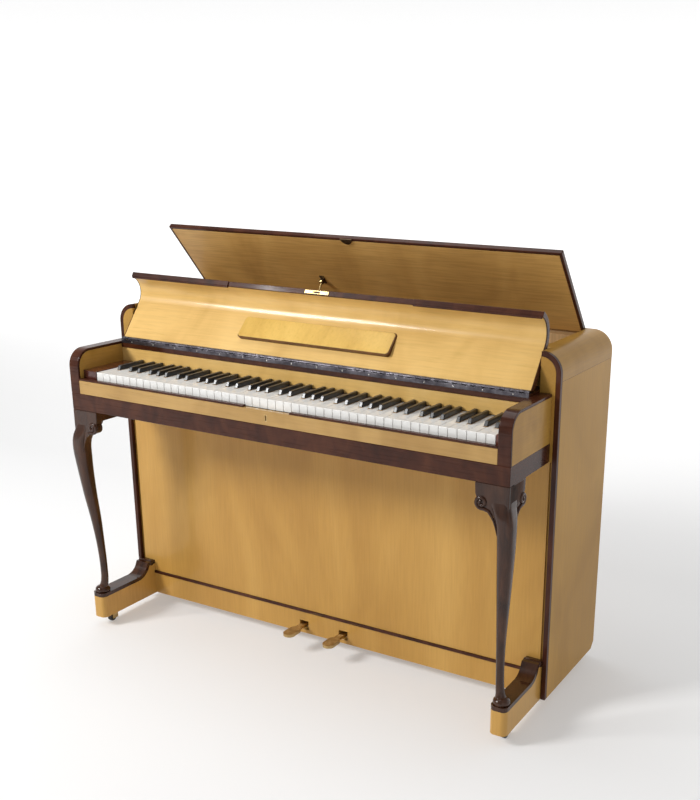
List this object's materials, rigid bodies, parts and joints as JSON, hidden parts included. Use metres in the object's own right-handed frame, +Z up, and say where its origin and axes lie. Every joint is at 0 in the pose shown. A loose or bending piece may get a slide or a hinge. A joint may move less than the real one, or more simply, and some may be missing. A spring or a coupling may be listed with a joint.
{
  "type": "upright piano",
  "caption": "Low upright piano in figured maple with dark mahogany legs and edging, its curved fall open and its top lid raised on a stay.",
  "frame": {"origin": "on the floor, under the centre of the whole piano", "axes": "+X along the keyboard towards the player's right, +Y from the player to the back, +Z up"},
  "size_m": [1.338, 0.564, 1.1183],
  "materials": {
    "maple": "gloss",
    "lid_maple": "satin",
    "dark_trim": "gloss",
    "mahogany": "gloss",
    "key_white": "gloss",
    "key_black": "gloss",
    "brass": "satin",
    "nickel": "satin",
    "bronze_dark": "satin",
    "spruce": "satin",
    "iron_gold": "satin",
    "string_steel": "satin",
    "hammer_felt": "matte",
    "caster_rubber": "matte",
    "foot_block": "matte"
  },
  "bodies": {
    "root": {"arm_caps": "dark_trim", "arms": "maple", "back_frame": "spruce", "baseboard": "maple", "bottom_board": "spruce", "dark_mouldings": "dark_trim", "front_stiles": "dark_trim", "hammers": "hammer_felt", "hinge_fixed_leaves": "nickel", "hinge_rail": "dark_trim", "iron_plate": "iron_gold", "key_blocks": "mahogany", "key_frame": "spruce", "key_slip": "maple", "keybed": "spruce", "keyhole_liner": "brass", "leg_left": "mahogany", "leg_right": "mahogany", "lower_panel": "maple", "nameboard": "maple", "rear_feet": "foot_block", "shoulders": "maple", "side_panel_left": "maple", "side_panel_right": "maple", "slip_rims": "dark_trim", "soundboard": "spruce", "strings": "string_steel", "toe_blocks": "maple", "toe_caps": "dark_trim", "tuning_pins": "string_steel", "upper_panel": "maple"},
    "fall": {"fall_panel": "maple", "fall_edging": "dark_trim", "music_ledge": "maple", "strike_plate": "brass", "fall_hinge_leaf": "nickel"},
    "lid": {"lid_panel": "lid_maple", "lid_edging": "dark_trim", "lid_catch": "bronze_dark", "lid_hinge_leaves": "brass", "stay_bracket": "bronze_dark"},
    "lid_stay": {"lid_stay": "brass"},
    "pedal_left": {"pedal_left": "brass"},
    "pedal_right": {"pedal_right": "brass"},
    "caster_left": {"caster_left": "brass"},
    "caster_right": {"caster_right": "brass"},
    "caster_wheel_left": {"caster_wheel_left": "caster_rubber"},
    "caster_wheel_right": {"caster_wheel_right": "caster_rubber"},
    "keys_a": {"keys_a": "key_white"},
    "keys_b": {"keys_b": "key_white"},
    "keys_c": {"keys_c": "key_white"},
    "keys_d": {"keys_d": "key_white"},
    "keys_e": {"keys_e": "key_white"},
    "keys_f": {"keys_f": "key_white"},
    "keys_g": {"keys_g": "key_white"},
    "keys_a_sharp": {"keys_a_sharp": "key_black"},
    "keys_c_sharp": {"keys_c_sharp": "key_black"},
    "keys_d_sharp": {"keys_d_sharp": "key_black"},
    "keys_f_sharp": {"keys_f_sharp": "key_black"},
    "keys_g_sharp": {"keys_g_sharp": "key_black"}
  },
  "joints": [
    {"name": "fall_hinge", "type": "hinge", "parent": "root", "child": "fall", "pos_m": [0, -0.108, 0.821], "axis": [1, 0, 0], "range_deg": [0, 136]},
    {"name": "lid_hinge", "type": "hinge", "parent": "root", "child": "lid", "pos_m": [0, 0.275, 0.9108], "axis": [1, 0, 0], "range_deg": [0, 50]},
    {"name": "stay_pivot", "type": "hinge", "parent": "lid", "child": "lid_stay", "pos_m": [-0.145, 0.18453, 0.97848], "axis": [1, 0, 0], "range_deg": [-105, 0]},
    {"name": "pedal_left_pin", "type": "hinge", "parent": "root", "child": "pedal_left", "pos_m": [-0.065, -0.008, 0.057], "axis": [1, 0, 0], "range_deg": [0, 8], "stiffness_Nm_per_rad": 15, "springref_deg": -8.59},
    {"name": "pedal_right_pin", "type": "hinge", "parent": "root", "child": "pedal_right", "pos_m": [0.065, -0.008, 0.057], "axis": [1, 0, 0], "range_deg": [0, 8], "stiffness_Nm_per_rad": 15, "springref_deg": -8.59},
    {"name": "caster_left_swivel", "type": "hinge", "parent": "root", "child": "caster_left", "pos_m": [-0.634, -0.205, 0.0297], "axis": [0, 0, 1], "continuous": true},
    {"name": "caster_left_axle", "type": "hinge", "parent": "caster_left", "child": "caster_wheel_left", "pos_m": [-0.634, -0.215, 0.013], "axis": [1, 0, 0], "continuous": true},
    {"name": "caster_right_swivel", "type": "hinge", "parent": "root", "child": "caster_right", "pos_m": [0.634, -0.205, 0.0297], "axis": [0, 0, 1], "continuous": true},
    {"name": "caster_right_axle", "type": "hinge", "parent": "caster_right", "child": "caster_wheel_right", "pos_m": [0.634, -0.215, 0.013], "axis": [1, 0, 0], "continuous": true},
    {"name": "key_a_balance", "type": "hinge", "parent": "root", "child": "keys_a", "pos_m": [0, -0.048, 0.73], "axis": [1, 0, 0], "range_deg": [0, 2.77], "stiffness_Nm_per_rad": 6, "springref_deg": -10.31},
    {"name": "key_b_balance", "type": "hinge", "parent": "root", "child": "keys_b", "pos_m": [0, -0.048, 0.73], "axis": [1, 0, 0], "range_deg": [0, 2.77], "stiffness_Nm_per_rad": 6, "springref_deg": -10.31},
    {"name": "key_c_balance", "type": "hinge", "parent": "root", "child": "keys_c", "pos_m": [0, -0.048, 0.73], "axis": [1, 0, 0], "range_deg": [0, 2.77], "stiffness_Nm_per_rad": 6, "springref_deg": -10.31},
    {"name": "key_d_balance", "type": "hinge", "parent": "root", "child": "keys_d", "pos_m": [0, -0.048, 0.73], "axis": [1, 0, 0], "range_deg": [0, 2.77], "stiffness_Nm_per_rad": 6, "springref_deg": -10.31},
    {"name": "key_e_balance", "type": "hinge", "parent": "root", "child": "keys_e", "pos_m": [0, -0.048, 0.73], "axis": [1, 0, 0], "range_deg": [0, 2.77], "stiffness_Nm_per_rad": 6, "springref_deg": -10.31},
    {"name": "key_f_balance", "type": "hinge", "parent": "root", "child": "keys_f", "pos_m": [0, -0.048, 0.73], "axis": [1, 0, 0], "range_deg": [0, 2.77], "stiffness_Nm_per_rad": 6, "springref_deg": -10.31},
    {"name": "key_g_balance", "type": "hinge", "parent": "root", "child": "keys_g", "pos_m": [0, -0.048, 0.73], "axis": [1, 0, 0], "range_deg": [0, 2.77], "stiffness_Nm_per_rad": 6, "springref_deg": -10.31},
    {"name": "key_a_sharp_balance", "type": "hinge", "parent": "root", "child": "keys_a_sharp", "pos_m": [0, -0.048, 0.73], "axis": [1, 0, 0], "range_deg": [0, 2.77], "stiffness_Nm_per_rad": 6, "springref_deg": -10.31},
    {"name": "key_c_sharp_balance", "type": "hinge", "parent": "root", "child": "keys_c_sharp", "pos_m": [0, -0.048, 0.73], "axis": [1, 0, 0], "range_deg": [0, 2.77], "stiffness_Nm_per_rad": 6, "springref_deg": -10.31},
    {"name": "key_d_sharp_balance", "type": "hinge", "parent": "root", "child": "keys_d_sharp", "pos_m": [0, -0.048, 0.73], "axis": [1, 0, 0], "range_deg": [0, 2.77], "stiffness_Nm_per_rad": 6, "springref_deg": -10.31},
    {"name": "key_f_sharp_balance", "type": "hinge", "parent": "root", "child": "keys_f_sharp", "pos_m": [0, -0.048, 0.73], "axis": [1, 0, 0], "range_deg": [0, 2.77], "stiffness_Nm_per_rad": 6, "springref_deg": -10.31},
    {"name": "key_g_sharp_balance", "type": "hinge", "parent": "root", "child": "keys_g_sharp", "pos_m": [0, -0.048, 0.73], "axis": [1, 0, 0], "range_deg": [0, 2.77], "stiffness_Nm_per_rad": 6, "springref_deg": -10.31}
  ],
  "couplings": [
    {"joint": "stay_pivot", "follows": "lid_hinge", "ratio": -2.1}
  ]
}
